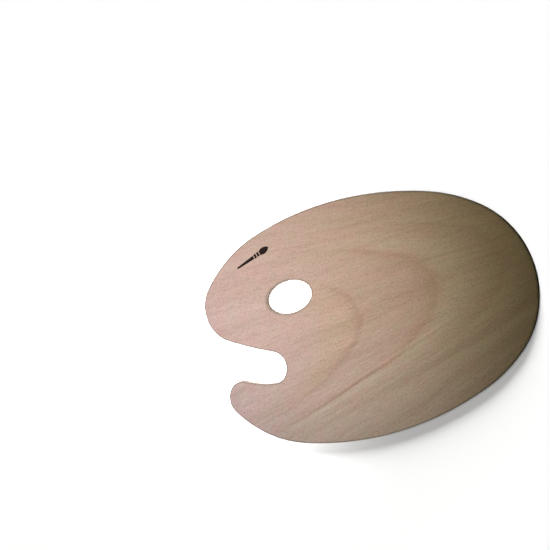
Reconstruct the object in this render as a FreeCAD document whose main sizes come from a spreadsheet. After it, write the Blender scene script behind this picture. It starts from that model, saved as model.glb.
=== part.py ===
import FreeCAD, Part
import math
import os
import Sketcher

# An oval mixing palette, cut from thin three-ply beech board: two outer veneers with the grain along the
# oval, a core veneer with the grain across it, and a film of glue between each pair. The board has an oval
# thumb hole and a finger notch that opens at the left end. A small picture of a brush is printed on the face.
#
# Frame: +Z is up, out of the mixing face. +X runs along the oval, away from the notch. The origin is the
# middle of the board's underside. Lengths are in millimetres and angles in degrees.

DIMENSIONS = [
    ("board_length", 300.0, "overall, along X"),
    ("board_width", 200.0, "overall, along Y"),
    ("outer_ply", 1.2, "thickness of the face veneer and of the back veneer"),
    ("core_ply", 1.4, "thickness of the core veneer"),
    ("glue_film", 0.1, "thickness of each glue line"),
    ("edge_round", 0.6, "sanded round along the rim, the notch and the thumb hole, on both faces"),
    ("end_radius", 77.0, "the plain end, on the right"),
    ("shoulder_radius", 130.0, "between the plain end and the flanks, and between upper flank and horn"),
    ("flank_radius", 290.0, "the long upper and lower edges"),
    ("flank_offset", 18.0, "widest place of the board, left of the middle"),
    ("horn_radius", 31.0, "the broad horn above the notch"),
    ("horn_height", 39.0, "centre of the horn, above the middle"),
    ("notch_side_radius", 370.0, "upper side of the notch, which bulges slightly into it"),
    ("notch_end_radius", 14.0, "blind end of the notch, where the finger sits"),
    ("notch_end_offset", 96.0, "centre of the blind end, left of the middle"),
    ("notch_end_drop", 21.5, "centre of the blind end, below the middle"),
    ("notch_lip_radius", 78.0, "hollow lower side of the notch"),
    ("tip_radius", 16.0, "the narrow tip below the notch"),
    ("tip_drop", 42.0, "centre of the tip, below the middle"),
    ("lower_shoulder_radius", 105.0, "between the tip and the lower flank"),
    ("hole_length", 46.0, "thumb hole, along X"),
    ("hole_width", 28.0, "thumb hole, along Y"),
    ("hole_offset", 60.5, "centre of the thumb hole, left of the middle"),
    ("hole_height", 33.5, "centre of the thumb hole, above the middle"),
    ("ink_film", 0.03, "thickness of the printed ink"),
    ("print_offset", 84.5, "middle of the print, left of the middle of the board"),
    ("print_height", 76.0, "middle of the print, above the middle of the board"),
    ("print_tilt", 14.0, "turn of the print, anticlockwise from +X"),
    ("print_length", 38.0, "the printed brush, end to end"),
    ("print_gap", 0.8, "bare wood between neighbouring printed shapes"),
    ("handle_length", 20.0, "printed handle, end to end"),
    ("handle_end_width", 1.6, "printed handle at its rounded end"),
    ("handle_width", 3.2, "printed handle where it meets the ferrule"),
    ("band_length", 2.4, "each printed ferrule band, along the brush"),
    ("band_width", 4.0, "each printed ferrule band, across the brush"),
    ("tuft_root_width", 3.6, "printed tuft where it leaves the ferrule"),
    ("tuft_width", 5.8, "printed tuft at its widest"),
    ("tuft_belly", 4.0, "widest place of the tuft, from its root"),
]

# The sheets of the board from the bottom up, each with its thickness.
LAYERS = [
    ("back_veneer", "outer_ply"),
    ("back_glue_line", "glue_film"),
    ("core_veneer", "core_ply"),
    ("face_glue_line", "glue_film"),
    ("face_veneer", "outer_ply"),
]

FERRULE_BANDS = 2
START = 1
END = 2
CENTER = 3
X_AXIS = -1
UP = FreeCAD.Vector(0, 0, 1)

doc = FreeCAD.newDocument("mixing_palette")


# ---- Driving dimensions -----------------------------------------------------------------------------

sheet = doc.addObject("Spreadsheet::Sheet", "Dimensions")
for row, (alias, value, note) in enumerate(DIMENSIONS, start=1):
    sheet.set(f"A{row}", alias)
    sheet.set(f"B{row}", str(value))
    sheet.set(f"C{row}", note)
    sheet.setAlias(f"B{row}", alias)
doc.recompute()


class Measure:
    """A length as it is now, together with the expression that works it out from the sheet."""

    def __init__(self, value, expression):
        self.value = value
        self.expression = expression

    def __add__(self, other):
        return Measure(self.value + other.value, f"({self.expression} + {other.expression})")

    def __sub__(self, other):
        return Measure(self.value - other.value, f"({self.expression} - {other.expression})")

    def __mul__(self, factor):
        return Measure(self.value * factor, f"({self.expression} * {factor})")

    def __truediv__(self, divisor):
        return Measure(self.value / divisor, f"({self.expression} / {divisor})")

    def __neg__(self):
        return Measure(-self.value, f"(-{self.expression})")


def dim(alias):
    """One cell of the sheet."""
    return Measure(float(sheet.get(alias)), f"Dimensions.{alias}")


NOTHING = Measure(0.0, "0")


# ---- Bodies and sketches ----------------------------------------------------------------------------

def new_body(label, height):
    """A body whose own ground plane is at a height above the underside of the board."""
    body = doc.addObject("PartDesign::Body", label)
    body.Label = label
    body.setExpression("Placement.Base.z", height.expression)
    return body


def new_sketch(body):
    """A sketch on the body's own ground plane."""
    sketch = body.newObject("Sketcher::SketchObject", f"{body.Name}_sketch")
    ground = [plane for plane in body.Origin.OriginFeatures if plane.Role == "XY_Plane"]
    sketch.AttachmentSupport = [(ground[0], "")]
    sketch.MapMode = "FlatFace"
    return sketch


def bind(sketch, measure, kind, *ends):
    """Adds a dimension to a sketch and ties it to the sheet."""
    index = sketch.addConstraint(Sketcher.Constraint(kind, *ends, measure.value))
    sketch.setExpression(f"Constraints[{index}]", measure.expression)


def place(sketch, geometry, point, x, y):
    """Ties a point's distances from the origin to the sheet, or puts it on the X axis."""
    for kind, away in (("DistanceX", x), ("DistanceY", y)):
        if away is NOTHING:
            sketch.addConstraint(Sketcher.Constraint("PointOnObject", geometry, point, X_AXIS))
        elif away.value > 0:
            bind(sketch, away, kind, X_AXIS, START, geometry, point)
        else:
            bind(sketch, -away, kind, geometry, point, X_AXIS, START)


def join(sketch, kind, first, end_of_first, second, start_of_second):
    """Joins two curves end to end, with a Coincident corner or a smooth Tangent run."""
    sketch.addConstraint(Sketcher.Constraint(kind, first, end_of_first, second, start_of_second))


def pad(body, sketch, thickness):
    """Thickens a sketch upwards."""
    feature = body.newObject("PartDesign::Pad", f"{body.Name}_pad")
    feature.Profile = sketch
    feature.setExpression("Length", dim(thickness).expression)
    doc.recompute()
    return feature


# ---- The outline of the board -----------------------------------------------------------------------
# A closed ring of twelve arcs, anticlockwise from the plain end, each running smoothly into the next.
# Every other arc is placed by its centre. The arcs between are given by their radius alone, since
# touching both neighbours fixes where they lie. A hollow arc's radius counts as negative.

ROUND = 1
HOLLOW = -1


def touching(edge, radius):
    """How far from the middle a round is centred when it just touches the board's edge."""
    return dim(edge) / 2 - dim(radius)


PLACED_ARCS = [
    (touching("board_length", "end_radius"), NOTHING, "end_radius", ROUND),
    (-dim("flank_offset"), touching("board_width", "flank_radius"), "flank_radius", ROUND),
    (-touching("board_length", "horn_radius"), dim("horn_height"), "horn_radius", ROUND),
    (-dim("notch_end_offset"), -dim("notch_end_drop"), "notch_end_radius", HOLLOW),
    (-touching("board_length", "tip_radius"), -dim("tip_drop"), "tip_radius", ROUND),
    (-dim("flank_offset"), -touching("board_width", "flank_radius"), "flank_radius", ROUND),
]
JOINING_ARCS = [
    ("shoulder_radius", ROUND),
    ("shoulder_radius", ROUND),
    ("notch_side_radius", ROUND),
    ("notch_lip_radius", HOLLOW),
    ("lower_shoulder_radius", ROUND),
    ("shoulder_radius", ROUND),
]


def joining_center(first, second, radius):
    """Centre of the arc that runs smoothly from the first placed arc into the second."""
    center_1, radius_1 = first
    center_2, radius_2 = second
    reach_1 = abs(radius - radius_1)
    reach_2 = abs(radius - radius_2)
    across = center_2 - center_1
    along = (reach_1 ** 2 - reach_2 ** 2 + across.Length ** 2) / (2 * across.Length)
    aside = math.sqrt(reach_1 ** 2 - along ** 2)
    if radius < max(radius_1, radius_2):
        aside = -aside
    direction = across / across.Length
    return center_1 + direction * along + UP.cross(direction) * aside


def outline_circles():
    """The centre and signed radius of each arc of the outline, in order."""
    placed = []
    for x, y, radius, bulge in PLACED_ARCS:
        placed.append((FreeCAD.Vector(x.value, y.value, 0), bulge * dim(radius).value))
    circles = []
    for number, (radius, bulge) in enumerate(JOINING_ARCS):
        first = placed[number]
        second = placed[(number + 1) % len(placed)]
        signed_radius = bulge * dim(radius).value
        circles.append(first)
        circles.append((joining_center(first, second, signed_radius), signed_radius))
    return circles


def meeting_point(first, second):
    """Where two neighbouring arcs touch."""
    center_1, radius_1 = first
    center_2, radius_2 = second
    return center_1 + (center_2 - center_1) * (radius_1 / (radius_1 - radius_2))


def bearing(center, point):
    """Direction of a point seen from a centre, as an angle from +X."""
    return math.atan2(point.y - center.y, point.x - center.x)


def draw_outline(sketch):
    """The board's outline: the ring of arcs, joined smoothly, and the dimensions that hold it."""
    circles = outline_circles()
    heads = []
    tails = []
    for number, circle in enumerate(circles):
        center, signed_radius = circle
        entry = bearing(center, meeting_point(circles[number - 1], circle))
        leave = bearing(center, meeting_point(circle, circles[(number + 1) % len(circles)]))
        # Sketched arcs always run anticlockwise, but the outline follows a hollow arc clockwise.
        if signed_radius < 0:
            entry, leave = leave, entry
        if leave < entry:
            leave += 2 * math.pi
        sketch.addGeometry(Part.ArcOfCircle(Part.Circle(center, UP, abs(signed_radius)), entry, leave))
        heads.append(START if signed_radius > 0 else END)
        tails.append(END if signed_radius > 0 else START)
    for number in range(len(circles)):
        following = (number + 1) % len(circles)
        join(sketch, "Tangent", number, tails[number], following, heads[following])
    for number, (x, y, radius, bulge) in enumerate(PLACED_ARCS):
        bind(sketch, dim(radius), "Radius", 2 * number)
        place(sketch, 2 * number, CENTER, x, y)
    for number, (radius, bulge) in enumerate(JOINING_ARCS):
        bind(sketch, dim(radius), "Radius", 2 * number + 1)


def draw_thumb_hole(sketch):
    """An ellipse, its long axis along X."""
    x = -dim("hole_offset")
    y = dim("hole_height")
    center = FreeCAD.Vector(x.value, y.value, 0)
    tip = center + FreeCAD.Vector(dim("hole_length").value / 2, 0, 0)
    side = center + FreeCAD.Vector(0, dim("hole_width").value / 2, 0)
    ellipse = sketch.addGeometry(Part.Ellipse(tip, side, center))
    sketch.exposeInternalGeometry(ellipse)
    long_axis = ellipse + 1
    short_axis = ellipse + 2
    place(sketch, ellipse, CENTER, x, y)
    sketch.addConstraint(Sketcher.Constraint("Horizontal", long_axis))
    bind(sketch, dim("hole_length"), "Distance", long_axis)
    bind(sketch, dim("hole_width"), "Distance", short_axis)


# ---- The plies and glue lines -----------------------------------------------------------------------

def sand_edges(body, blank, height):
    """Rounds every edge of a ply that lies at one height: the rim, the notch and the thumb hole."""
    names = []
    for number, edge in enumerate(blank.Shape.Edges, start=1):
        box = edge.BoundBox
        if abs(box.ZMin - height) < 1e-6 and abs(box.ZMax - height) < 1e-6:
            names.append(f"Edge{number}")
    feature = body.newObject("PartDesign::Fillet", f"{body.Name}_edge")
    feature.Base = (blank, names)
    feature.setExpression("Radius", dim("edge_round").expression)
    doc.recompute()


pieces = []
level = NOTHING
for label, thickness in LAYERS:
    layer = new_body(label, level)
    layer_sketch = new_sketch(layer)
    draw_outline(layer_sketch)
    draw_thumb_hole(layer_sketch)
    blank = pad(layer, layer_sketch, thickness)
    if label == "back_veneer":
        sand_edges(layer, blank, 0)
    if label == "face_veneer":
        sand_edges(layer, blank, dim(thickness).value)
    pieces.append(layer)
    level = level + dim(thickness)


# ---- The printed brush ------------------------------------------------------------------------------
# Flat shapes of ink on the face, drawn about their own middle with the brush's tip towards +X.

def draw_corners(sketch, corners, closing=None):
    """Straight edges through a run of corners, closed by one more edge unless an arc closes it."""
    points = [FreeCAD.Vector(x.value, y.value, 0) for x, y in corners]
    edges = []
    for first, second in zip(points, points[1:]):
        edges.append(sketch.addGeometry(Part.LineSegment(first, second)))
    if closing is None:
        edges.append(sketch.addGeometry(Part.LineSegment(points[-1], points[0])))
    else:
        edges.append(sketch.addGeometry(closing))
    for number, edge in enumerate(edges):
        join(sketch, "Coincident", edge, END, edges[(number + 1) % len(edges)], START)
    for edge, (x, y) in zip(edges, corners):
        place(sketch, edge, START, x, y)
    return edges[-1]


def draw_handle(sketch, butt):
    """A tapered handle with a half-round butt."""
    end_half = dim("handle_end_width") / 2
    wide_half = dim("handle_width") / 2
    neck = butt + dim("handle_length")
    butt_middle = butt + end_half
    corners = [(butt_middle, -end_half), (neck, -wide_half), (neck, wide_half), (butt_middle, end_half)]
    circle = Part.Circle(FreeCAD.Vector(butt_middle.value, 0, 0), UP, end_half.value)
    arc = draw_corners(sketch, corners, Part.ArcOfCircle(circle, math.pi / 2, 3 * math.pi / 2))
    bind(sketch, -butt_middle, "DistanceX", arc, CENTER, X_AXIS, START)
    return neck


def draw_band(sketch, near):
    """One band of the ferrule."""
    half = dim("band_width") / 2
    far = near + dim("band_length")
    draw_corners(sketch, [(near, -half), (far, -half), (far, half), (near, half)])
    return far


def draw_tuft(sketch, root, tip):
    """A pointed tuft: each side is one arc, from the root round the belly to the tip."""
    root_half = dim("tuft_root_width") / 2
    belly_half = dim("tuft_width") / 2
    belly = root + dim("tuft_belly")
    lower_root = FreeCAD.Vector(root.value, -root_half.value, 0)
    upper_root = FreeCAD.Vector(root.value, root_half.value, 0)
    lower_belly = FreeCAD.Vector(belly.value, -belly_half.value, 0)
    upper_belly = FreeCAD.Vector(belly.value, belly_half.value, 0)
    point = FreeCAD.Vector(tip.value, 0, 0)
    lower_side = sketch.addGeometry(Part.Arc(lower_root, lower_belly, point))
    upper_side = sketch.addGeometry(Part.Arc(point, upper_belly, upper_root))
    base = sketch.addGeometry(Part.LineSegment(upper_root, lower_root))
    widest = sketch.addGeometry(Part.Point(lower_belly), True)
    join(sketch, "Coincident", lower_side, END, upper_side, START)
    join(sketch, "Coincident", upper_side, END, base, START)
    join(sketch, "Coincident", base, END, lower_side, START)
    sketch.addConstraint(Sketcher.Constraint("Equal", lower_side, upper_side))
    sketch.addConstraint(Sketcher.Constraint("PointOnObject", widest, START, lower_side))
    place(sketch, widest, START, belly, -belly_half)
    place(sketch, base, START, root, root_half)
    place(sketch, base, END, root, -root_half)
    place(sketch, upper_side, START, tip, NOTHING)


brush = new_body("ink_mark", level)
brush.AllowCompound = True
brush.Placement.Rotation = FreeCAD.Rotation(UP, dim("print_tilt").value)
brush.setExpression("Placement.Base.x", (-dim("print_offset")).expression)
brush.setExpression("Placement.Base.y", dim("print_height").expression)
brush.setExpression("Placement.Rotation.Angle", dim("print_tilt").expression)
brush_sketch = new_sketch(brush)
along = draw_handle(brush_sketch, -dim("print_length") / 2)
for band in range(FERRULE_BANDS):
    along = draw_band(brush_sketch, along + dim("print_gap"))
draw_tuft(brush_sketch, along + dim("print_gap"), dim("print_length") / 2)
pad(brush, brush_sketch, "ink_film")
pieces.append(brush)


# ---- Checks and files -------------------------------------------------------------------------------

doc.recompute()
for item in doc.Objects:
    if "Invalid" in item.State or "Error" in item.State:
        raise RuntimeError(f"{item.Name} failed: {item.State}")
    if item.isDerivedFrom("Sketcher::SketchObject") and not item.FullyConstrained:
        raise RuntimeError(f"{item.Name} isn't fully constrained")

os.makedirs("parts", exist_ok=True)
for piece in pieces:
    shape = piece.Shape
    if shape.isNull() or not shape.isValid():
        raise RuntimeError(f"{piece.Label} has no valid shape")
    box = shape.optimalBoundingBox()
    print(f"{piece.Label}: {len(shape.Solids)} solid(s), {shape.Volume:.1f} mm3, "
          f"X {box.XMin:.2f} to {box.XMax:.2f}, Y {box.YMin:.2f} to {box.YMax:.2f}, "
          f"Z {box.ZMin:.2f} to {box.ZMax:.2f}")
    shape.exportStep(f"parts/{piece.Label}.step")
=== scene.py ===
import math

import bmesh
import bpy
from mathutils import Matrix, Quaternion, Vector, kdtree, noise


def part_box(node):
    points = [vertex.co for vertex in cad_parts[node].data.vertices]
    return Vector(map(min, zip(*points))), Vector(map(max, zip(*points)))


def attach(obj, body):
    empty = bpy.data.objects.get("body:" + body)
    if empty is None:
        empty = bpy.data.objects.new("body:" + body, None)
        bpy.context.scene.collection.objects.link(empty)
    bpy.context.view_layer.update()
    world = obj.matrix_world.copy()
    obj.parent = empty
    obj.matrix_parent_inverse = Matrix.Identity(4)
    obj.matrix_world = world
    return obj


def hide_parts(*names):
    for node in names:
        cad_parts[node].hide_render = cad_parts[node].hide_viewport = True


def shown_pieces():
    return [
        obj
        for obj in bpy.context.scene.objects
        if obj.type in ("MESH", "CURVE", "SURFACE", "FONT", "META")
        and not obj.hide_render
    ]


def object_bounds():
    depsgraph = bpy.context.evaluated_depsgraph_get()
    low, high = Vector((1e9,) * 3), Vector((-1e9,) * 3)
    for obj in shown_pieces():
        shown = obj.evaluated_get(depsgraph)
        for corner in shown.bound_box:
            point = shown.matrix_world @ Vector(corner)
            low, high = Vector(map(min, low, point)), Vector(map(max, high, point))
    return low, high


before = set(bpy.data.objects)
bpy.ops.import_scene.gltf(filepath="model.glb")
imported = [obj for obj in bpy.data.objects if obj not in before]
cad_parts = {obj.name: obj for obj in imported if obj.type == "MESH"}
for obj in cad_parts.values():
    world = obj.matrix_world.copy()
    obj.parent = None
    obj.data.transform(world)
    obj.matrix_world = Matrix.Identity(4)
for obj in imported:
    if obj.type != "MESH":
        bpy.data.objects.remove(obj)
cad_low, cad_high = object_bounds()


# ---- Back veneer ------------------------------------------------------------------------------------
# The lowest ply: a 1.2 mm sheet of rotary-cut beech, grain along the oval, whose underside is the back
# of the board. It is glued up with the other plies, sawn to the outline with them, and its lower edge
# is sanded round along the rim, the notch and the thumb hole.

MM = 0.001
WELD = 0.001 * MM
EDGE_ROUND = 0.6 * MM
DEEPEST_GRAIN = 0.045 * MM


def sawn_outline(node):
    """The rim and the thumb hole as smooth closed loops of points, with the wood on their left."""
    drawing = bmesh.new()
    drawing.from_mesh(node.data)
    bmesh.ops.remove_doubles(drawing, verts=drawing.verts, dist=WELD)
    base = min(corner.co.z for corner in drawing.verts)
    lowest = {corner for corner in drawing.verts if abs(corner.co.z - base) < WELD}
    sharp = math.radians(60)
    arris = [edge for edge in drawing.edges
             if lowest.issuperset(edge.verts) and edge.calc_face_angle(0) > sharp]
    outlines = []
    while arris:
        edge = arris.pop()
        start, corner = edge.verts
        corners = [start, corner]
        while corner is not start:
            edge = next(following for following in corner.link_edges if following in arris)
            arris.remove(edge)
            corner = edge.other_vert(corner)
            corners.append(corner)
        outlines.append([spot.co.to_2d() for spot in corners[:-1]])
    drawing.free()
    outlines.sort(key=len, reverse=True)
    return [smooth_loop(outline, clockwise=number > 0) for number, outline in enumerate(outlines)]


def smooth_loop(corners, clockwise):
    """A closed curve through the corners, as evenly spread points, each with the way out of the wood."""
    area = sum(a.cross(b) for a, b in zip(corners, corners[1:] + corners[:1]))
    if (area < 0) != clockwise:
        corners = corners[::-1]
    curve = bpy.data.curves.new("sawn_line", "CURVE")
    curve.dimensions = "3D"
    spline = curve.splines.new("BEZIER")
    spline.bezier_points.add(len(corners) - 1)
    for knot, corner in zip(spline.bezier_points, corners):
        knot.co = corner.to_3d()
        knot.handle_left_type = "AUTO"
        knot.handle_right_type = "AUTO"
    spline.use_cyclic_u = True
    spline.resolution_u = 5
    drawn = bpy.data.objects.new("sawn_line", curve)
    line = bpy.data.meshes.new_from_object(drawn)
    points = [vertex.co.to_2d() for vertex in line.vertices]
    bpy.data.objects.remove(drawn)
    bpy.data.curves.remove(curve)
    bpy.data.meshes.remove(line)
    loop = []
    for number, point in enumerate(points):
        along = points[(number + 1) % len(points)] - points[number - 1]
        loop.append((point, Vector((along.y, -along.x)).normalized()))
    return loop


def sawn_solid(loops, profile):
    """A solid with the sawn outline. The profile gives its wall from the bottom up, as pairs of the
    height and how far the wall lies inside the outline there."""
    solid = bmesh.new()
    line = solid.verts.layers.float_vector.new("line")
    outward = solid.verts.layers.float_vector.new("outward")
    ring = []
    for loop in loops:
        corners = []
        for point, way_out in loop:
            corner = solid.verts.new(point.to_3d())
            corner[line] = point.to_3d()
            corner[outward] = way_out.to_3d()
            corners.append(corner)
        ring += [solid.edges.new((corners[number - 1], corners[number]))
                 for number in range(len(corners))]
    bottom = ring
    for level, (height, inset) in enumerate(profile):
        if level:
            grown = bmesh.ops.extrude_edge_only(solid, edges=ring)["geom"]
            ring = [part for part in grown if isinstance(part, bmesh.types.BMEdge)]
        for corner in {corner for edge in ring for corner in edge.verts}:
            depth = inset(corner[line], height) if callable(inset) else inset
            corner.co = corner[line] - corner[outward] * depth
            corner.co.z = height
    bmesh.ops.triangle_fill(solid, use_beauty=True, edges=bottom)
    bmesh.ops.triangle_fill(solid, use_beauty=True, edges=ring)
    bmesh.ops.recalc_face_normals(solid, faces=solid.faces)
    return solid


def sanded_profile(low, high, radius, steps=5):
    """The wall of a ply whose upper edge is sanded round."""
    profile = [(low, 0.0)]
    for step in range(steps + 1):
        turn = math.radians(90) * step / steps
        profile.append((high - radius + radius * math.sin(turn), radius - radius * math.cos(turn)))
    return profile


def make_piece(name, shape, crease=35):
    """An object from a bmesh, smooth apart from its creases."""
    mesh = bpy.data.meshes.new(name)
    shape.to_mesh(mesh)
    shape.free()
    mesh.shade_smooth()
    mesh.set_sharp_from_angle(angle=math.radians(crease))
    piece = bpy.data.objects.new(name, mesh)
    bpy.context.scene.collection.objects.link(piece)
    return piece


def veneer_sheet(low, high, seed):
    """A rotary-cut sheet a little larger than the board, its upper face scored by the open grain."""
    spare = 1.02
    sheet = bmesh.new()
    bmesh.ops.create_grid(sheet, x_segments=110, y_segments=520, size=0.5)
    length, width, _ = (cad_high - cad_low) * spare
    bmesh.ops.scale(sheet, vec=(length, width, 1), verts=sheet.verts)
    for spot in sheet.verts:
        fibre = noise.noise(Vector((spot.co.x / (9 * MM), spot.co.y / (0.9 * MM), seed)))
        wave = noise.noise(Vector((spot.co.x / (70 * MM), spot.co.y / (9 * MM), seed + 7)))
        groove = 0.5 + 0.35 * fibre + 0.35 * wave
        spot.co.z = high - DEEPEST_GRAIN * min(max(groove, 0.05), 1)
    edge_ring = [edge for edge in sheet.edges if edge.is_boundary]
    skirt = bmesh.ops.extrude_edge_only(sheet, edges=edge_ring)["geom"]
    hem = [part for part in skirt if isinstance(part, bmesh.types.BMEdge) and part.is_boundary]
    for corner in {corner for edge in hem for corner in edge.verts}:
        corner.co.z = low - 1 * MM
    bmesh.ops.contextual_create(sheet, geom=hem)
    bmesh.ops.recalc_face_normals(sheet, faces=sheet.faces)
    return sheet


def cut_with(blank, operation, tool):
    """Adds a cut of the blank with the tool: INTERSECT keeps what lies inside it, DIFFERENCE the rest."""
    cut = blank.modifiers.new(operation.lower(), "BOOLEAN")
    cut.operation = operation
    cut.solver = "MANIFOLD"
    cut.object = tool


def cut_mesh(blank):
    """The blank's mesh with its cuts made."""
    return bpy.data.meshes.new_from_object(blank.evaluated_get(bpy.context.evaluated_depsgraph_get()))


def saw_veneer(node, loops, seed):
    """An outer ply, grained face up: the sheet sawn to the outline, its upper edge sanded. Each corner
    carries its distance from the rim or the hole, in millimetres, for the wood's finish."""
    low, high = (corner.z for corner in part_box(node))
    sheet = make_piece("sheet", veneer_sheet(low, high, seed))
    blank = make_piece("blank", sawn_solid(loops, sanded_profile(low, high, EDGE_ROUND)))
    cut_with(blank, "INTERSECT", sheet)
    shape = bmesh.new()
    shape.from_mesh(cut_mesh(blank))
    bmesh.ops.remove_doubles(shape, verts=shape.verts, dist=WELD)
    for leftover in (sheet, blank):
        bpy.data.objects.remove(leftover)
    outline = [point for loop in loops for point, _ in loop]
    rim = kdtree.KDTree(len(outline))
    for point in outline:
        rim.insert(point.to_3d(), 0)
    rim.balance()
    from_rim = shape.verts.layers.float.new("from_rim")
    for corner in shape.verts:
        corner[from_rim] = rim.find((corner.co.x, corner.co.y, 0))[2] / MM
    return shape


class Finish:
    """A material in the making. Each method adds its nodes and gives back their output."""

    def __init__(self, name):
        self.material = bpy.data.materials.new(name)
        self.material.use_nodes = True
        self.tree = self.material.node_tree
        self.shader = self.tree.nodes["Principled BSDF"]

    def feed(self, socket, value):
        if isinstance(value, bpy.types.NodeSocket):
            self.tree.links.new(value, socket)
        else:
            socket.default_value = value

    def add(self, kind, inputs, output=0, **settings):
        made = self.tree.nodes.new(kind)
        for name, value in settings.items():
            setattr(made, name, value)
        for key, value in inputs.items():
            self.feed(made.inputs[key], value)
        return made.outputs[output]

    def place(self, turn=0.0):
        """The point of the piece being coloured, in millimetres, turned about Z."""
        spot = self.add("ShaderNodeTexCoord", {}, output="Object")
        inputs = {"Vector": spot, "Scale": (1 / MM, 1 / MM, 1 / MM), "Rotation": (0, 0, turn)}
        return self.add("ShaderNodeMapping", inputs)

    def axes(self, vector, names="XYZ"):
        return [self.add("ShaderNodeSeparateXYZ", {0: vector}, output=name) for name in names]

    def calc(self, operation, *values, clamp=False):
        inputs = dict(enumerate(values))
        return self.add("ShaderNodeMath", inputs, operation=operation, use_clamp=clamp)

    def total(self, *parts):
        result = parts[0]
        for part in parts[1:]:
            result = self.calc("ADD", result, part)
        return result

    def times(self, first, second):
        return self.calc("MULTIPLY", first, second)

    def size(self, value, centre=0.0):
        """How far the value is from the centre, either way."""
        away = self.calc("ADD", value, -centre) if centre else value
        return self.calc("ABSOLUTE", away)

    def share(self, value, low, high):
        """How far the value has come from low to high, from 0 to 1."""
        return self.calc("DIVIDE", self.calc("ADD", value, -low), high - low, clamp=True)

    def span(self, value, low, high, to_low=0.0, to_high=1.0):
        """Carries low..high smoothly over to to_low..to_high."""
        inputs = {"Value": value, "From Min": low, "From Max": high, "To Min": to_low, "To Max": to_high}
        return self.add("ShaderNodeMapRange", inputs, interpolation_type="SMOOTHSTEP")

    def noise(self, place, detail=2.0, roughness=0.5):
        inputs = {"Vector": place, "Scale": 1.0, "Detail": detail, "Roughness": roughness}
        return self.add("ShaderNodeTexNoise", inputs, noise_dimensions="3D")

    def vector(self, x, y, z):
        return self.add("ShaderNodeCombineXYZ", {"X": x, "Y": y, "Z": z})

    def cell(self, along, length, across, width, layer):
        """Places counted in cells of a length along the grain and a width across it."""
        return self.vector(self.times(along, 1 / length), self.times(across, 1 / width), layer)

    def sway(self, noise, reach):
        """A noise of 0 to 1 made to swing over a reach of millimetres, evenly about zero."""
        return self.calc("MULTIPLY_ADD", noise, reach, -reach / 2)

    def ramp(self, value, stops):
        made = self.tree.nodes.new("ShaderNodeValToRGB")
        stop_list = made.color_ramp.elements
        while len(stop_list) < len(stops):
            stop_list.new(0.5)
        for stop, (position, color) in zip(stop_list, stops):
            stop.position = position
            stop.color = (*color, 1.0)
        self.feed(made.inputs[0], value)
        return made.outputs[0]

    def blend(self, factor, below, above, kind="MIX"):
        made = self.tree.nodes.new("ShaderNodeMix")
        made.data_type = "RGBA"
        made.blend_type = kind
        self.feed(made.inputs["Factor"], factor)
        self.feed(made.inputs[6], below)
        self.feed(made.inputs[7], above)
        return made.outputs[2]

    def tint(self, color, value, stops, factor=1.0):
        """The colour multiplied by a ramp's tone at the value."""
        return self.blend(factor, color, self.ramp(value, stops), "MULTIPLY")

    def stain(self, color, factor, tone):
        """The colour multiplied by one tone where the factor is full."""
        return self.blend(factor, color, self.blend(1.0, color, (*tone, 1.0), "MULTIPLY"))

    def finish(self, color, roughness, relief, depth, gloss=0.3):
        bump = {"Height": relief, "Distance": depth, "Strength": 1.0}
        self.feed(self.shader.inputs["Base Color"], color)
        self.feed(self.shader.inputs["Roughness"], roughness)
        self.feed(self.shader.inputs["Normal"], self.add("ShaderNodeBump", bump))
        self.shader.inputs["Specular IOR Level"].default_value = gloss
        return self.material


# The board reaches from -150 to 150 mm along X and from -100 to 100 mm along Y.
HALF_LENGTH = 150.0
HALF_WIDTH = 100.0

# Tones along the board, from the notch end to the plain end: pink wood that turns olive, growth rings,
# and the sawn edge, with painted shade that makes it dark at the plain end.
WOOD_TONES = [
    (0.00, (0.650, 0.468, 0.428)), (0.30, (0.620, 0.436, 0.358)),
    (0.65, (0.585, 0.404, 0.283)), (1.00, (0.485, 0.350, 0.165)),
]
RING_TONES = [
    (0.00, (0.96, 0.96, 0.99)), (0.15, (1.00, 0.99, 1.02)), (0.25, (1.00, 0.98, 1.00)),
    (0.305, (1.00, 1.00, 0.92)), (0.355, (0.99, 0.96, 0.88)), (0.374, (0.86, 0.80, 0.75)),
    (0.388, (0.98, 0.96, 0.94)), (0.46, (1.00, 0.98, 0.97)), (0.53, (0.99, 0.95, 0.93)),
    (0.555, (0.93, 0.86, 0.80)), (0.575, (1.04, 1.07, 1.02)), (0.61, (1.06, 1.12, 1.08)),
    (0.66, (1.00, 1.01, 0.96)), (0.70, (0.95, 0.93, 0.87)), (0.72, (1.02, 1.04, 0.98)),
    (0.82, (0.95, 0.94, 0.88)), (0.85, (1.02, 1.03, 0.98)), (1.00, (0.97, 0.97, 0.92)),
]
# Painted shade: the sawn edge darkens to near black towards the plain end.
EDGE_TONES_WITH_PAINTED_SHADE = [
    (0.00, (0.66, 0.54, 0.45)), (0.45, (0.58, 0.46, 0.36)), (0.62, (0.26, 0.18, 0.13)),
    (0.82, (0.045, 0.031, 0.023)), (1.00, (0.008, 0.006, 0.005)),
]

# Tones across the board, from the side with the short horn of the notch to the side with the print:
# painted cool light, greyer and bluer towards the side with the short horn.
SIDE_TONES_PAINTED_COOL_LIGHT = [
    (0.00, (0.93, 1.02, 1.06)), (0.25, (0.97, 1.02, 1.04)), (0.50, (1.0, 1.0, 1.0)),
    (1.00, (1.00, 0.98, 0.97)),
]


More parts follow.
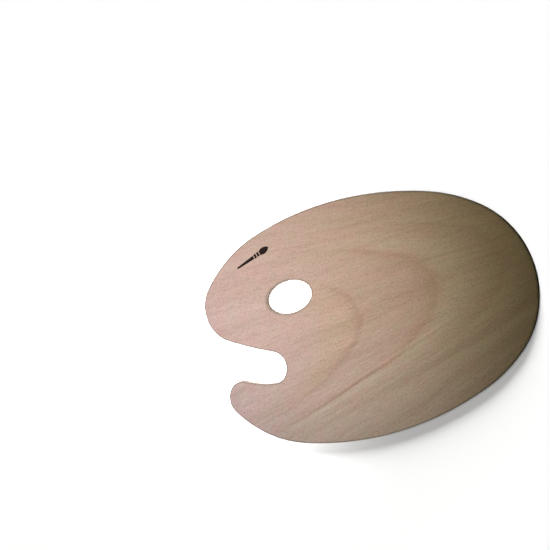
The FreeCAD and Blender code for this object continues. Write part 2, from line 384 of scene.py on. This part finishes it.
def beech(name, heart, turn, seed):
    """Sanded beech veneer. The growth rings make nested arches round a line through the heart point,
    turned from +X. Along the grain run fine fibres and the short brown flecks of the rays."""
    wood = Finish(name)
    x, y, z = wood.axes(wood.place())
    cos, sin = math.cos(turn), math.sin(turn)
    right = wood.calc("SUBTRACT", x, heart[0])
    up = wood.calc("SUBTRACT", y, heart[1])
    u = wood.total(wood.times(right, cos), wood.times(up, sin))
    v = wood.total(wood.times(up, cos), wood.times(right, -sin))

    # Lanes of grain: they waver, and widen from the plain end to the notch end.
    widening = 0.0055
    drift = wood.noise(wood.cell(u, 80, v, 45, seed), 1.0)
    v = wood.total(v, wood.sway(drift, 9.0))
    fan = wood.calc("MULTIPLY_ADD", wood.calc("SUBTRACT", HALF_LENGTH, u), widening, 1.0)
    lane = wood.calc("DIVIDE", v, fan)
    wander = wood.noise(wood.cell(u, 26, v, 15, seed + 3), 3.0)
    frayed = wood.noise(wood.cell(u, 9, lane, 0.9, seed + 5), 2.0)

    # Growth rings: a blunt arch near the line, and past its shoulders long straight flanks. They are
    # faint towards the notch end, on the side with the print.
    bluntness = 0.0236
    shoulder = 54.0
    shoulder_round = 8.0
    flank_slope = 1.4
    last_ring = 250.0
    arch = wood.times(wood.calc("MULTIPLY", v, v), bluntness)
    past = wood.calc("SUBTRACT", wood.size(v), shoulder)
    rounded = wood.calc("SQRT", wood.calc("MULTIPLY_ADD", past, past, shoulder_round ** 2))
    flank = wood.times(wood.total(past, rounded), flank_slope)
    ring = wood.total(u, arch, flank, wood.sway(wander, 14.0), wood.sway(frayed, 4.5))
    growth = wood.ramp(wood.share(ring, -HALF_LENGTH, last_ring), RING_TONES)
    towards_print = -0.9
    shown = wood.span(wood.calc("MULTIPLY_ADD", v, towards_print, u), -75.0, -20.0, 0.25, 1.0)

    tone = wood.ramp(wood.share(x, -HALF_LENGTH, HALF_LENGTH), WOOD_TONES)
    # Painted cool light across the board, bluer towards the side with the short horn of the notch.
    color = wood.tint(tone, wood.share(y, -HALF_WIDTH, HALF_WIDTH), SIDE_TONES_PAINTED_COOL_LIGHT)
    color = wood.blend(shown, color, wood.blend(1.0, color, growth, "MULTIPLY"))

    # Long bands and streaks, fibres, and the mottle and blush of the sanded face.
    bands = wood.noise(wood.cell(u, 160, lane, 7, seed + 13), 2.0, 0.5)
    color = wood.tint(color, bands, [
        (0.30, (0.93, 0.91, 0.89)), (0.50, (1.0, 1.0, 1.0)), (0.70, (1.03, 1.04, 1.04)),
    ])
    streaks = wood.noise(wood.cell(u, 70, lane, 1.7, seed + 11), 3.0, 0.65)
    color = wood.tint(color, streaks, [
        (0.25, (0.88, 0.85, 0.82)), (0.45, (0.98, 0.97, 0.96)), (0.60, (1.0, 1.0, 1.0)),
        (0.80, (1.05, 1.06, 1.05)),
    ])
    layer = wood.calc("MULTIPLY_ADD", z, 5.0, seed)
    fibres = wood.noise(wood.cell(u, 11, lane, 0.36, layer), 3.0, 0.6)
    color = wood.tint(color, fibres, [
        (0.25, (0.86, 0.84, 0.82)), (0.50, (1.0, 1.0, 1.0)), (0.78, (1.08, 1.08, 1.08)),
    ])
    mottle = wood.noise(wood.cell(u, 2.0, lane, 1.0, seed + 19), 3.0, 0.7)
    color = wood.tint(color, mottle, [
        (0.30, (0.79, 0.78, 0.77)), (0.50, (1.0, 1.0, 1.0)), (0.70, (1.145, 1.15, 1.155)),
    ], factor=wood.span(x, -60.0, 130.0, 0.76, 1.0))
    blush = wood.noise(wood.cell(u, 14, lane, 8, seed + 29), 2.0, 0.5)
    color = wood.tint(color, blush, [
        (0.35, (0.975, 1.02, 0.98)), (0.50, (1.0, 1.0, 1.0)), (0.65, (1.03, 0.975, 0.99)),
    ])

    # Ray flecks, about 4 mm apart along the grain and a third of a millimetre or more across it.
    fleck_place = wood.cell(u, 4.2, lane, 0.34, seed + 23)
    fleck_inputs = {"Vector": fleck_place, "Scale": 1.0, "Randomness": 1.0}
    fleck_distance = wood.add("ShaderNodeTexVoronoi", fleck_inputs, output="Distance")
    fleck_kind = wood.add("ShaderNodeTexVoronoi", fleck_inputs, output="Color")
    strength = wood.add("ShaderNodeSeparateColor", {0: fleck_kind})
    fleck = wood.times(wood.span(fleck_distance, 0.40, 0.15), wood.span(strength, 0.2, 0.95))
    color = wood.blend(wood.times(fleck, 0.2), color, (0.250, 0.140, 0.090, 1.0))

    # A pale mineral streak, with a darker one beside it, passes the heart point at some distance.
    slant = math.radians(17)
    streak_distance = 48.0
    across = wood.total(wood.times(up, math.cos(slant)), wood.times(right, -math.sin(slant)))
    across = wood.total(across, streak_distance, wood.sway(wander, 2.0))
    reach = wood.span(wood.size(right, 5.0), 100.0, 40.0)
    pale = wood.times(wood.span(wood.size(across, 0.6), 1.5, 0.2), reach)
    dark = wood.times(wood.span(wood.size(across, -1.9), 1.8, 0.3), reach)
    color = wood.stain(color, wood.times(pale, 0.9), (1.12, 1.09, 1.10))
    color = wood.stain(color, wood.times(dark, 0.9), (0.88, 0.83, 0.81))

    # A border of one to two millimetres along the rim is greyed.
    from_rim = wood.add("ShaderNodeAttribute", {}, output="Fac", attribute_name="from_rim")
    border = wood.span(wood.calc("MULTIPLY_ADD", wander, 1.0, from_rim), 2.3, 1.4)
    color = wood.stain(color, wood.times(border, 0.9), (0.62, 0.68, 0.69))

    # The sawn edge, wherever the surface turns away from flat, with painted shade that darkens it towards
    # the plain end.
    normal = wood.add("ShaderNodeNewGeometry", {}, output="Normal")
    facing = wood.axes(normal, "Z")[0]
    edge = wood.span(wood.size(facing), 0.99, 0.55)
    sawn = wood.ramp(wood.share(x, -HALF_LENGTH, HALF_LENGTH), EDGE_TONES_WITH_PAINTED_SHADE)
    sawn = wood.tint(sawn, fibres, [
        (0.30, (0.62, 0.58, 0.55)), (0.55, (1.0, 1.0, 1.0)), (0.80, (1.18, 1.18, 1.18)),
    ])
    color = wood.blend(wood.times(edge, 0.95), color, sawn)

    relief = wood.total(wood.times(fibres, 0.7), wood.times(streaks, 0.4), wood.times(fleck, -0.5))
    roughness = wood.span(fibres, 0.2, 0.8, 0.68, 0.52)
    return wood.finish(color, roughness, relief, 0.03 * MM)


sawn_loops = sawn_outline(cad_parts["core_veneer"])
back_low, back_high = (corner.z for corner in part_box("back_veneer"))
back_shape = saw_veneer("back_veneer", sawn_loops, 40.0)
for corner in back_shape.verts:
    corner.co.z = back_low + back_high - corner.co.z
bmesh.ops.reverse_faces(back_shape, faces=back_shape.faces)
back = make_piece("back_ply", back_shape)
back.data.materials.append(beech("beech_back", (60.0, -20.0), math.radians(183), 40.0))
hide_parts("back_veneer")
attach(back, "root")


# ---- Back glue line ---------------------------------------------------------------------------------
# A film of cured glue, 0.1 mm thick, between the back ply and the core. It was rolled on, pressed hot
# and sawn with the plies, so it shows as a thin dark line, a little sunken where sanding wore it.

def glue_line(name, node, seed):
    low, high = (corner.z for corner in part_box(node))

    def worn(point, height):
        return (0.03 + 0.025 * noise.noise(point / (3 * MM) + Vector((0, 0, seed)))) * MM

    line = make_piece(name, sawn_solid(sawn_loops, [(low, worn), (high, worn)]))
    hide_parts(node)
    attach(line, "root")
    return line


def cured_glue(name):
    """Brittle brown resin, cloudy and dusty with sanded wood."""
    glue = Finish(name)
    cloud = glue.noise(glue.place(), 3.0, 0.6)
    color = glue.ramp(cloud, [(0.3, (0.075, 0.040, 0.020)), (0.7, (0.170, 0.100, 0.055))])
    return glue.finish(color, glue.span(cloud, 0.3, 0.7, 0.35, 0.6), cloud, 0.02 * MM)


glue_finish = cured_glue("glue_resin")
glue_line("back_glue", "back_glue_line", 1.0).data.materials.append(glue_finish)


# ---- Core veneer ------------------------------------------------------------------------------------
# The middle ply: 1.4 mm of plainer wood laid across the board, so its end grain shows along the two
# long sides and its fibres along the ends. The saw left it slightly furry, which the sanding kept.

CORE_STEPS = 5
core_low, core_high = (corner.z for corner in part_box("core_veneer"))


def sawn_fur(point, height):
    fur = noise.noise(Vector((point.x / (0.7 * MM), point.y / (1.6 * MM), height / (0.5 * MM))))
    return (0.03 + 0.03 * fur) * MM


def core_wood(name):
    """Cross-laid ply seen on its sawn edge: warm brown, with pores, thin layers and saw marks."""
    wood = Finish(name)
    x, y, z = wood.axes(wood.place())
    layers = wood.noise(wood.cell(x, 1.4, y, 16, wood.times(z, 1 / 0.16)), 2.0)
    pores = wood.noise(wood.cell(x, 0.25, y, 5, wood.times(z, 1 / 0.12)), 2.0)
    patches = wood.noise(wood.cell(x, 18, y, 24, 4.0), 2.0)
    color = wood.ramp(layers, [
        (0.25, (0.115, 0.062, 0.034)), (0.50, (0.225, 0.135, 0.080)), (0.80, (0.330, 0.215, 0.135)),
    ])
    color = wood.tint(color, pores, [
        (0.30, (0.45, 0.40, 0.36)), (0.45, (1.0, 1.0, 1.0)), (0.80, (1.12, 1.10, 1.08)),
    ])
    color = wood.blend(wood.span(patches, 0.45, 0.75, 0.0, 0.5), color, (0.095, 0.055, 0.032, 1.0))
    # Painted shade: the edge tones, brightened, darken the core's edge to near black towards the plain
    # end.
    core_edge_tone_with_shade = wood.ramp(wood.share(x, -HALF_LENGTH, HALF_LENGTH), EDGE_TONES_WITH_PAINTED_SHADE)
    core_edge_tone_with_shade = wood.blend(1.0, core_edge_tone_with_shade, (2.2, 2.5, 2.9, 1.0), "MULTIPLY")
    color = wood.blend(1.0, color, core_edge_tone_with_shade, "MULTIPLY")
    relief = wood.total(layers, pores)
    return wood.finish(color, wood.span(pores, 0.3, 0.7, 0.92, 0.7), relief, 0.06 * MM, 0.15)


core_wall = [(core_low + (core_high - core_low) * step / CORE_STEPS, sawn_fur)
             for step in range(CORE_STEPS + 1)]
core = make_piece("core_ply", sawn_solid(sawn_loops, core_wall))
core.data.materials.append(core_wood("cross_grain"))
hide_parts("core_veneer")
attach(core, "root")


# ---- Face glue line ---------------------------------------------------------------------------------
# The second film of glue, between the core and the face ply. It is the same resin as the first, and was
# rolled on, pressed and sawn in the same way, with its own wear along the edge.

glue_line("face_glue", "face_glue_line", 9.0).data.materials.append(glue_finish)


# ---- Face veneer ------------------------------------------------------------------------------------
# The upper ply and the mixing surface: 1.2 mm of beech chosen for its figure, pink by the notch and
# olive at the plain end. Sawn with the rest, its upper edge sanded round, its face sanded and left bare.

FACE_GRAIN = 3.0
LENGTHWISE = math.radians(5)

face = make_piece("face_ply", saw_veneer("face_veneer", sawn_loops, FACE_GRAIN))
face.data.materials.append(beech("beech_face", (0.0, 6.0), LENGTHWISE, 0.0))
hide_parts("face_veneer")
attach(face, "root")


# ---- Ink mark ---------------------------------------------------------------------------------------
# A small brush printed in dark ink by the thumb hole, with a handle, two ferrule bands and a tuft. The
# film is about 0.02 mm thick and lies in the grain, so it is thin and broken where the wood is open.

INK_FILM = 0.02 * MM
STAMP_SPARE = 0.2 * MM

print_low, print_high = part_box("ink_mark")
stamp_shape = bmesh.new()
stamp_shape.from_mesh(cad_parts["ink_mark"].data)
bmesh.ops.remove_doubles(stamp_shape, verts=stamp_shape.verts, dist=WELD)
middle = (print_low.z + print_high.z) / 2
for corner in stamp_shape.verts:
    corner.co.z = print_low.z - STAMP_SPARE if corner.co.z < middle else print_high.z + STAMP_SPARE
stamp = make_piece("brush_print", stamp_shape)
under = print_low.z - 2 * MM
film_top = make_piece("film_top", veneer_sheet(under, print_low.z + INK_FILM, FACE_GRAIN))
wood_top = make_piece("wood_top", veneer_sheet(under, print_low.z, FACE_GRAIN))
cut_with(stamp, "INTERSECT", film_top)
cut_with(stamp, "DIFFERENCE", wood_top)
film = cut_mesh(stamp)
film.materials.clear()
film.polygons.foreach_set("material_index", [0] * len(film.polygons))
stamp.modifiers.clear()
stamp.data = film
for leftover in (film_top, wood_top):
    bpy.data.objects.remove(leftover)


def print_ink(name):
    """Matt brown-black ink, starved in places so that the wood shows through."""
    ink = Finish(name)
    x, y = ink.axes(ink.place(-LENGTHWISE), "XY")
    starved = ink.noise(ink.cell(x, 2.5, y, 0.3, 2.0), 2.0, 0.6)
    color = ink.ramp(starved, [
        (0.30, (0.012, 0.007, 0.006)), (0.62, (0.022, 0.012, 0.010)), (0.78, (0.120, 0.075, 0.055)),
    ])
    return ink.finish(color, ink.span(starved, 0.3, 0.7, 0.6, 0.8), starved, 0.02 * MM, 0.1)


stamp.data.materials.append(print_ink("brown_black_ink"))
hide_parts("ink_mark")
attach(stamp, "root")


# ---- Stage, light and camera ------------------------------------------------------------------------
# A white paper floor in a white surround. The board and the floor have lamps of their own. The board is
# lit from over the notch end and falls dark towards the plain end. The floor is lit low from the side
# with the print, which throws a shadow past the other side, and a pool of light hides it in the notch.

FLOOR_GAP = 0.02 * MM

bpy.context.scene.view_settings.view_transform = "Standard"

board_only = bpy.data.collections.new("board_only")
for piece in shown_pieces():
    board_only.objects.link(piece)
floor_only = bpy.data.collections.new("floor_only")

sweep = bmesh.new()
bmesh.ops.create_grid(sweep, x_segments=1, y_segments=1, size=6)
bmesh.ops.translate(sweep, vec=(0, 0, cad_low.z - FLOOR_GAP), verts=sweep.verts)
floor = make_piece("floor", sweep)
paper = Finish("white_paper")
paper.feed(paper.shader.inputs["Base Color"], (0.9, 0.9, 0.9, 1))
paper.feed(paper.shader.inputs["Roughness"], 0.9)
floor.data.materials.append(paper.material)
floor.visible_glossy = False
floor_only.objects.link(floor)

dome = bmesh.new()
bmesh.ops.create_icosphere(dome, subdivisions=4, radius=5)
backdrop = make_piece("backdrop", dome)
haze = Finish("white_haze")
haze.feed(haze.shader.inputs["Base Color"], (0, 0, 0, 1))
haze.feed(haze.shader.inputs["Emission Color"], (1, 1, 1, 1))
haze.feed(haze.shader.inputs["Emission Strength"], 1.0)
backdrop.data.materials.append(haze.material)
for ray in ("diffuse", "glossy", "shadow", "transmission"):
    setattr(backdrop, f"visible_{ray}", False)

world = bpy.data.worlds.new("studio")
world.use_nodes = True
sky = world.node_tree.nodes["Background"]
sky.inputs["Color"].default_value = (1.0, 0.86, 0.62, 1)
sky.inputs["Strength"].default_value = 0.035
bpy.context.scene.world = world


def lamp(name, kind, place, target, receivers, **settings):
    """A lamp at the place, aimed at the target, which lights only its receivers."""
    light = bpy.data.lights.new(name, kind)
    for key, value in settings.items():
        setattr(light, key, value)
    holder = bpy.data.objects.new(name, light)
    bpy.context.scene.collection.objects.link(holder)
    holder.location = place
    holder.rotation_euler = (Vector(target) - Vector(place)).to_track_quat("-Z", "Y").to_euler()
    holder.light_linking.receiver_collection = receivers


lamp("key", "SPOT", (-0.150, 0.050, 0.423), (-0.078, 0.032, 0), board_only,
     energy=7.1, spot_size=math.radians(63.5), spot_blend=1.0, shadow_soft_size=0.05)
lamp("floor_rake", "SUN", (0.28, 0.94, 0.18), (0, 0, 0), floor_only, energy=11.5, angle=math.radians(28))
lamp("floor_top", "SUN", (0, 0, 1), (0, 0, 0), floor_only, energy=1.35, angle=math.radians(60))
lamp("floor_pool", "SPOT", (-0.22, 0.06, 0.8), (-0.22, 0.06, 0), floor_only,
     energy=110, spot_size=math.radians(32), spot_blend=1.0, shadow_soft_size=0.08)

# The camera looks down on the board from beyond its plain end, rolled so that the notch lies at the left.
view = bpy.data.cameras.new("camera")
view.lens = 60
view.sensor_width = 36
camera = bpy.data.objects.new("camera", view)
bpy.context.scene.collection.objects.link(camera)
camera.location = (0.3329, 0.0, 0.6929)
aim = Vector((-0.0675, 0.0554, cad_high.z))
upright = (aim - camera.location).to_track_quat("-Z", "Y")
roll = Quaternion((0, 0, 1), math.radians(-99.3))
camera.rotation_euler = (upright @ roll).to_euler()
bpy.context.scene.camera = camera
